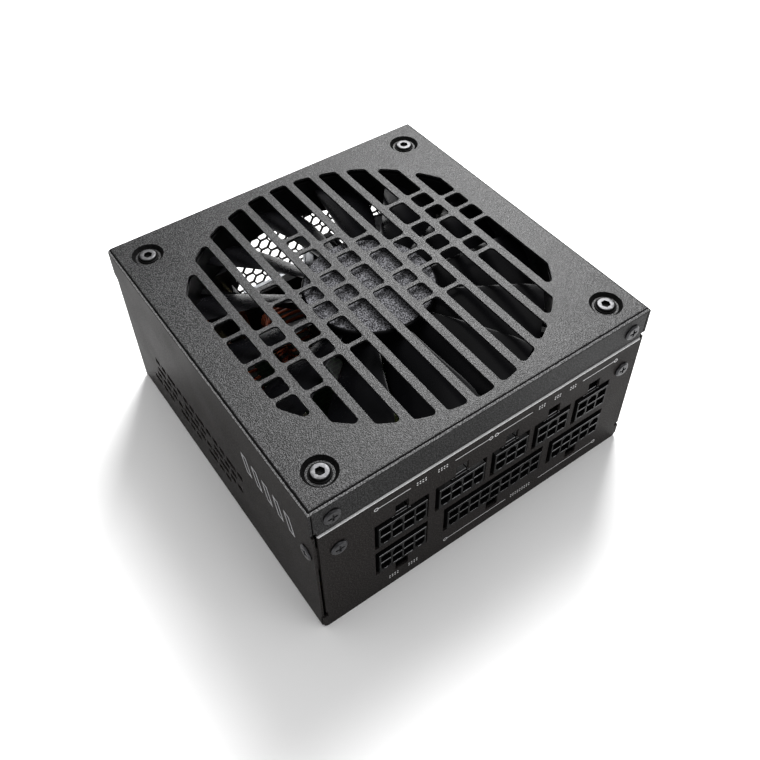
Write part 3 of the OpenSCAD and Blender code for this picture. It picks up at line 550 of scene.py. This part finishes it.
def cover_finish(face):
    """Top paint, painted shade on the dish walls, darker copies of the paint on the flanges as painted
    shade, and a painted shade line and a painted highlight along the bends.
    """
    middle, up = face.calc_center_median(), face.normal.z
    # Painted shade on the walls of the dishes round the fan screws.
    if DISH_WALL_R[0] < from_screw(middle) < DISH_WALL_R[1] and middle.z < CASE_TOP - DISH_DEPTH:
        return PAINTED_SHADE
    if max(abs(middle.x) - COVER_HIGH.x, abs(middle.y) - COVER_HIGH.y) <= -BEND_REACH:
        return TOP_PAINT
    # On the bends: a painted shade line where the faces lean most upward, and a painted highlight below it.
    if UPRIGHT_UP < up < LEVEL_UP:
        return PAINTED_SHADE if up > SHADE_LINE_UP else EDGE
    # The cover's upright flanges take duller paints as painted shade: the tub's paint on the side flanges
    # and the shaded flange paint on the front and back.
    if up <= UPRIGHT_UP:
        return SHADED_SIDE if abs(face.normal.x) > 0.5 else SHADED_FLANGE
    return TOP_PAINT


def panel_finish(face):
    """Painted highlight on the upper bevels of the panel's front edge, just under the cover, where light
    catches the seam.
    """
    middle = face.calc_center_median()
    near_front = middle.y < PANEL_FRONT_Y + 0.9 * MM
    return face.normal.z > 0.3 and near_front and abs(middle.z - SEAM_Z) < 0.4 * MM


def socket_finish(face):
    """Painted highlight: lighter bevels where a socket's edges face both up and forward."""
    return 0.55 < face.normal.z < 0.95 and face.normal.y < -0.2


HEAD_R = 2.75 * MM
HEAD_DEPTH = 0.75 * MM
HEX_R = 1.4 * MM
# The fan screws' own metal, a painted highlight on the head's upward faces, and painted shade.
PLAIN, HEAD_HIGHLIGHT, SHADED = range(3)


def screw_finish(face):
    """Painted highlight on the upward faces of a fan screw's head, with painted shade in its hexagon socket
    and on its flange.
    """
    middle = face.calc_center_median()
    away = from_screw(middle)
    in_hexagon = away < HEX_R and face.normal.z < 0.9
    if away > HEAD_R or in_hexagon or middle.z < CASE_TOP - HEAD_DEPTH:
        return SHADED
    return HEAD_HIGHLIGHT if face.normal.z > 0.2 else PLAIN


soften("top_cover", 0.14, extras=("painted_shade", "case_paint", "bend_highlight", "flange_shaded_paint"),
       pick=cover_finish)
soften("base_tub", 0.1)
soften("connector_panel", 0.12, extras=("seam_highlight",), pick=panel_finish)
soften("rear_panel", 0.1)
soften("fan_screws", 0.1, extras=("screw_top_highlight", "painted_shade"), pick=screw_finish)

# How wide the rounding of each plain piece is, in millimetres.
ROUNDED_MM = {
    "cover_screws": 0.08, "side_screws": 0.08, "panel_screws": 0.08, "inlet_body": 0.2, "switch_frame": 0.2,
    "switch_rocker": 0.3, "inlet_pins": 0.15, "fan_frame": 0.15, "fan_plug": 0.15, "relay": 0.4,
    "line_capacitors": 0.5, "transformer_core": 0.3, "transformer_winding": 0.5, "resonant_choke": 0.3,
    "standby_transformer": 0.3, "bridge_rectifier": 0.2, "power_transistors": 0.15,
    "safety_capacitors": 0.5, "thermistor": 0.5, "primary_heatsink": 0.1, "secondary_heatsink": 0.1}
for node, width in ROUNDED_MM.items():
    soften(node, width)
for node in ("eight_pin_sockets", "six_pin_sockets", "eighteen_pin_socket", "ten_pin_socket"):
    soften(node, 0.2, 1, extras=("socket_edge_highlight",), pick=socket_finish)

# ---------------------------------------------------------------- fan rotor

ROTOR_LOW, ROTOR_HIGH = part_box("fan_rotor")
BLADES = 13
BLADE_PHASE = math.radians(9)
HUB_R = 22 * MM
HUB_WALL = 1.3 * MM
ROOT_R = HUB_R - 0.4 * MM
TIP_R = ROTOR_HIGH.x - 0.2 * MM
BLADE_MID_Z = ROTOR_LOW.z + 5.8 * MM
ROOT_TILT, TIP_TILT = math.radians(38), math.radians(21)
ROOT_HALF, TIP_HALF = math.radians(12.6), math.radians(11.6)
BLADE_SWEEP = math.radians(4)
BLADE_CAMBER = 0.6 * MM
ROOT_THICK, TIP_THICK = 0.75 * MM, 0.5 * MM
TIP_NARROWING = 0.2
BLADE_STEPS = 12
HUB_RIM_R = 1.1 * MM
BORE_R = 1.55 * MM
BOSS_R = 3.4 * MM
ROTOR_PLASTIC, HUB_TOP = range(2)


def blade_ring(s, turn, count=9):
    """Closed loop of points round one blade section, s running from 0 at the hub to 1 at the tip."""
    r = ROOT_R + s * (TIP_R - ROOT_R)
    tilt = ROOT_TILT + s * (TIP_TILT - ROOT_TILT)
    half = r * math.sin(ROOT_HALF + s * (TIP_HALF - ROOT_HALF)) * (1 - TIP_NARROWING * s ** 8)
    thick = ROOT_THICK + s * (TIP_THICK - ROOT_THICK)

    def at(u, side):
        bulge = side * thick * math.sqrt(max(0, 1 - u * u))
        across = u * half - bulge * math.sin(tilt)
        height = u * half * math.tan(tilt) + BLADE_CAMBER * (1 - u * u) + bulge * math.cos(tilt)
        angle = turn + BLADE_SWEEP * (s * s - 0.4) + across / r
        return Vector((r * math.cos(angle), r * math.sin(angle), BLADE_MID_Z + height))

    top = [at(-math.cos(math.pi * k / count), 1) for k in range(count + 1)]
    bottom = [at(math.cos(math.pi * k / count), -1) for k in range(1, count)]
    return top + bottom


def make_rotor():
    bm = bmesh.new()
    for blade in range(BLADES):
        turn = BLADE_PHASE + TAU * blade / BLADES
        rings = [[bm.verts.new(point) for point in blade_ring(k / BLADE_STEPS, turn)]
                 for k in range(BLADE_STEPS + 1)]
        skin(bm, rings)
        bm.faces.new(rings[0])
        bm.faces.new(rings[-1])
    top, low, inner_r = ROTOR_HIGH.z, ROTOR_LOW.z, HUB_R - HUB_WALL
    gate_mark = [(0, top - 0.12 * MM), (0.9 * MM, top - 0.12 * MM), (1.1 * MM, top - 0.3 * MM),
                 (1.8 * MM, top - 0.3 * MM), (2.1 * MM, top)]
    rim = arc(HUB_R - HUB_RIM_R, top - HUB_RIM_R, HUB_RIM_R, math.pi / 2, 0, 6)
    inside = [(HUB_R, low), (inner_r, low), (inner_r, top - 1.4 * MM), (BOSS_R, top - 1.4 * MM),
              (BOSS_R, top - 3 * MM), (BORE_R, top - 3 * MM), (BORE_R, top - 0.65 * MM),
              (0, top - 0.65 * MM)]
    profile = gate_mark + rim + inside
    slots = [HUB_TOP if n <= len(gate_mark) else ROTOR_PLASTIC for n in range(len(profile) - 1)]
    lathe(bm, profile, segments=96, slots=slots)
    new_piece("rotor_with_blades", mesh_from(bm, "rotor_with_blades", 40), "rotor", "rotor_plastic",
              ("rotor_plastic", "hub_top"), ["fan_rotor"])


make_rotor()

# ---------------------------------------------------------------- windings and cans


TURN_STEPS = 14
SQUARENESS = 5
WINDING_GAP = 0.10


def winding(bm, centre, outer_r, inner_r, width, turns, wire_r, foot_z):
    """One wire wound round a standing ring core whose axis is along X, with both ends down to the board."""
    path = []
    mid = (outer_r + inner_r) / 2
    half_r, half_w = (outer_r - inner_r) / 2 + wire_r, width / 2 + wire_r
    steps = turns * TURN_STEPS
    for n in range(steps + 1):
        a = TAU * n / TURN_STEPS
        c, s = math.cos(a), math.sin(a)
        square = (abs(c) ** SQUARENESS + abs(s) ** SQUARENESS) ** (-1 / SQUARENESS)
        radius = mid + half_r * c * square
        round_ring = -math.pi / 2 + WINDING_GAP + (TAU - 2 * WINDING_GAP) * n / steps
        path.append(centre + Vector((half_w * s * square, radius * math.cos(round_ring),
                                     radius * math.sin(round_ring))))
    feet = [path[0].copy(), path[-1].copy()]
    for foot in feet:
        foot.z = foot_z
    tube(bm, [feet[0], *path, feet[1]], wire_r)


def make_windings():
    board_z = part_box("main_board")[1].z
    bm = bmesh.new()
    low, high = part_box("pfc_core")
    winding(bm, (low + high) / 2, (high.z - low.z) / 2, 6.6 * MM, high.x - low.x, 30, 0.56 * MM, board_z)
    new_piece("pfc_winding_wire", mesh_from(bm, "pfc_winding_wire"), "case", "copper", (), ["pfc_winding"])
    bm = bmesh.new()
    low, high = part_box("choke_cores")
    radius, width = (high.z - low.z) / 2, high.x - low.x
    for y in (low.y + radius, high.y - radius):
        middle = Vector(((low.x + high.x) / 2, y, (low.z + high.z) / 2))
        winding(bm, middle, radius, 4.6 * MM, width, 20, 0.55 * MM, board_z)
    new_piece("choke_winding_wire", mesh_from(bm, "choke_winding_wire"), "case", "copper", (),
              ["choke_windings"])


CAN_SLOTS = ("can_sleeve", "can_stripe", "can_top")
SLEEVE, STRIPE, METAL_TOP = range(3)
LIP, LIP_R, TOP_DIP = 1.2 * MM, 0.7 * MM, 0.35 * MM
STRIPE_AT, STRIPE_HALF = -2.2, 0.42
SCORE_HALF = 0.2 * MM


def add_can(bm, x, y, low, high, r):
    """Sleeved capacitor can: crimped foot, rolled lip, scored metal top and a stripe down its side."""
    rolled = arc(r - LIP_R, high - LIP_R, LIP_R, 0, math.pi / 2, 4)
    foot = [(0, low), (r - 0.4 * MM, low), (r, low + 0.5 * MM), (r, low + 1.6 * MM),
            (r - 0.5 * MM, low + 2.1 * MM), (r, low + 2.6 * MM)]
    top = [(r - LIP, high), (r - LIP - 0.1 * MM, high - TOP_DIP), (0, high - TOP_DIP)]
    profile = foot + rolled + top
    first = len(bm.faces)
    lathe(bm, profile, (x, y, 0), 40, [SLEEVE] * (len(profile) - 3) + [METAL_TOP] * 2)
    bm.faces.ensure_lookup_table()
    for face in bm.faces[first:]:
        middle = face.calc_center_median() - Vector((x, y, 0))
        turn = math.atan2(middle.y, middle.x)
        if face.material_index == SLEEVE and abs(turn - STRIPE_AT) < STRIPE_HALF:
            face.material_index = STRIPE
    inner = r - LIP - 0.5 * MM
    start = math.asin(SCORE_HALF / inner)
    quadrant = [(SCORE_HALF, SCORE_HALF)] + arc(0, 0, inner, start, math.pi / 2 - start, 6)
    for quarter in range(4):
        c, s = math.cos(quarter * math.pi / 2), math.sin(quarter * math.pi / 2)
        outline = [(x + a * c - b * s, y + a * s + b * c) for a, b in quadrant]
        slab(bm, outline, high - TOP_DIP - 0.05 * MM, high - TOP_DIP + 0.16 * MM, slot=METAL_TOP)


def make_cans():
    for node in ("bulk_capacitor", "output_capacitors"):
        bm = bmesh.new()
        for x, y, low, high, r in solid_places(node):
            add_can(bm, x, y, low, high, r)
        new_piece(node + "_sleeved", mesh_from(bm, node, 40), "case", "can_sleeve", CAN_SLOTS, [node])


make_windings()
make_cans()

# ---------------------------------------------------------------- wires

# Routes in millimetres. The fan lead runs from the fan's board to its plug, the mains leads from the
# inlet and the switch to each other or down to the main board.
FAN_LEAD_ROUTE = ((18, -18, 44.8), (40, -36, 44.8), (44, -42.5, 40), (44, -42.5, 24), (40, -27, 19),
                  (40, -27, 8.5))
MAINS_ROUTES = (
    ((-29.5, 40, 17), (-29.5, 38.2, 17), (-28.5, 37.6, 27), (-30.5, 38.2, 39.2), (-30.5, 41.5, 39.2)),
    ((-42.5, 41.5, 39.2), (-42.5, 38.2, 39.2), (-49, 38.2, 30), (-49, 38.2, 7.2)),
    ((-43.5, 40, 17), (-43.5, 38.2, 17), (-43.5, 38.2, 7.2)),
    ((-36.5, 40, 21), (-36.5, 37.4, 21), (-36.5, 37.4, 7.2)))


STRAND_R = 0.5 * MM
TWIST_R = 0.62 * MM
TWIST_STEP = 0.55
TWIST_LEAN = 0.3
MAINS_WIRE_R = 1.25 * MM


def in_metres(route_mm):
    return [Vector(point) * MM for point in route_mm]


def make_wires():
    bm = bmesh.new()
    route = smooth_path(in_metres(FAN_LEAD_ROUTE), 10)
    for side in range(3):
        strand = []
        for n, point in enumerate(route):
            a = n * TWIST_STEP + side * TAU / 3
            strand.append(point + TWIST_R * Vector((math.cos(a), math.sin(a), TWIST_LEAN * math.cos(a))))
        tube(bm, strand, STRAND_R)
    new_piece("fan_lead_strands", mesh_from(bm, "fan_lead_strands"), "case", "black_wire", (), ["fan_lead"])
    bm = bmesh.new()
    for route in MAINS_ROUTES:
        tube(bm, smooth_path(in_metres(route), 8), MAINS_WIRE_R, 12)
    new_piece("mains_lead_wires", mesh_from(bm, "mains_lead_wires"), "case", "mains_wire", (),
              ["mains_leads"])


make_wires()

# ---------------------------------------------------------------- printed lines and marks

INK_T = 0.03 * MM
LINE_W = 0.24
RING_OUT, RING_IN = 0.75, 0.5
RING_STEPS = 20
PIN_PITCH, PIN_CELL = 1.0, 0.45
UPPER_Z, LOWER_Z, CORNER_Z = 47.4, 5.4, 4.8
# Each printed line's two ends and height in millimetres, and whether its left and right end have a ring.
PRINTED_LINES = ((-41.0, -30.0, UPPER_Z, True, False), (-14.0, -1.4, UPPER_Z, False, True),
                 (2.2, 15.6, UPPER_Z, True, False), (36.2, 49.8, UPPER_Z, False, True),
                 (-14.9, 9.6, LOWER_Z, True, False), (24.0, 49.0, LOWER_Z, False, True))
# First column's place, middle height and number of columns of each small picture of a socket.
PIN_GRIDS = ((-27.6, UPPER_Z, 4), (-20.0, UPPER_Z, 4), (18.4, UPPER_Z, 3), (24.8, UPPER_Z, 3),
             (31.2, UPPER_Z, 3), (12.0, LOWER_Z, 9), (-37.4, CORNER_Z, 4), (-30.0, CORNER_Z, 4))
# Half width and levels below the seam of the painted highlight along the panel's top edge, in millimetres.
SEAM_LIGHT_HALF_W = 60.3
SEAM_LIGHT_TOP, SEAM_LIGHT_LOW = 0.08, 0.36


def ink_plate(bm, outline_mm):
    """A printed shape on the connector panel, from points across and up in millimetres."""
    outline = [(a * MM, b * MM) for a, b in outline_mm]
    slab(bm, outline, PANEL_FRONT_Y - INK_T, PANEL_FRONT_Y + INK_T, "y")


def ink_ring(bm, x, z):
    for k in range(RING_STEPS):
        a, b = TAU * k / RING_STEPS, TAU * (k + 1) / RING_STEPS
        ink_plate(bm, [(x + r * math.cos(t), z + r * math.sin(t))
                       for r, t in ((RING_IN, a), (RING_OUT, a), (RING_OUT, b), (RING_IN, b))])


def ink_line(bm, x0, x1, z, ring_left, ring_right):
    ink_plate(bm, rectangle(x0, z - LINE_W / 2, x1, z + LINE_W / 2))
    if ring_left:
        ink_ring(bm, x0 - RING_OUT, z)
    if ring_right:
        ink_ring(bm, x1 + RING_OUT, z)


def ink_pin_grid(bm, x, z, columns):
    """A small picture of a socket: two rows of pin squares."""
    half = PIN_CELL / 2
    for column in range(columns):
        for row in (-0.5, 0.5):
            a, b = x + column * PIN_PITCH, z + row * PIN_PITCH
            ink_plate(bm, rectangle(a - half, b - half, a + half, b + half))


def make_prints():
    bm = bmesh.new()
    for line in PRINTED_LINES:
        ink_line(bm, *line)
    for grid in PIN_GRIDS:
        ink_pin_grid(bm, *grid)
    new_piece("panel_print", mesh_from(bm, "panel_print"), "case", "badge")


def make_panel_edge_highlight():
    """A painted highlight along the sheared top edge of the connector panel."""
    bm = bmesh.new()
    seam = SEAM_Z / MM
    ink_plate(bm, rectangle(-SEAM_LIGHT_HALF_W, seam - SEAM_LIGHT_LOW, SEAM_LIGHT_HALF_W, seam - SEAM_LIGHT_TOP))
    new_piece("panel_top_edge_highlight", mesh_from(bm, "panel_top_edge_highlight"), "case", "case_paint", ["seam_highlight"])


BAR_COUNT = 5
BAR_W, BAR_LEAN, BAR_PITCH, BAR_STROKE = 3.0 * MM, 2.2 * MM, 6.0 * MM, 0.6 * MM
MARK_OUT, MARK_IN = 0.3 * MM, 0.45 * MM


def bar_strokes(y, z, height):
    """Outlines of the four strokes of one slanted open bar whose lower corner is at y, z."""
    slope, inner = BAR_LEAN / height, BAR_W - BAR_STROKE
    strokes = ((0, 0, BAR_STROKE, height), (inner, 0, BAR_W, height),
               (BAR_STROKE, 0, inner, BAR_STROKE), (BAR_STROKE, height - BAR_STROKE, inner, height))
    return [[(y + a + b * slope, z + b) for a, b in rectangle(*stroke)] for stroke in strokes]


def make_side_marks():
    """Slanted open bars on both side walls."""
    low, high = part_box("side_badge")
    bm = bmesh.new()
    for near, far in ((low.x + MARK_OUT, low.x + MARK_IN), (high.x - MARK_IN, high.x - MARK_OUT)):
        for n in range(BAR_COUNT):
            for outline in bar_strokes(low.y + n * BAR_PITCH, low.z, high.z - low.z):
                slab(bm, outline, near, far, "x")
    new_piece("side_mark_bars", mesh_from(bm, "side_mark_bars"), "case", "badge", ["mark_ink"],
              ["side_badge"])


make_prints()
make_panel_edge_highlight()
make_side_marks()

# ---------------------------------------------------------------- floor

FLOOR_HALF = 3.0


def make_floor():
    bm = bmesh.new()
    bmesh.ops.create_grid(bm, x_segments=8, y_segments=8, size=FLOOR_HALF)
    mesh = bpy.data.meshes.new("floor")
    bm.to_mesh(mesh)
    bm.free()
    floor = bpy.data.objects.new("floor", mesh)
    floor.location.z = cad_bounds[0].z
    bpy.context.collection.objects.link(floor)
    paper = Shader("floor_paper", roughness=0.9)
    paper.colour(paper.ramp(paper.noise(40, 2.0), (0.3, 0.94), (0.7, 0.96)))
    paint(floor, paper.material)


make_floor()
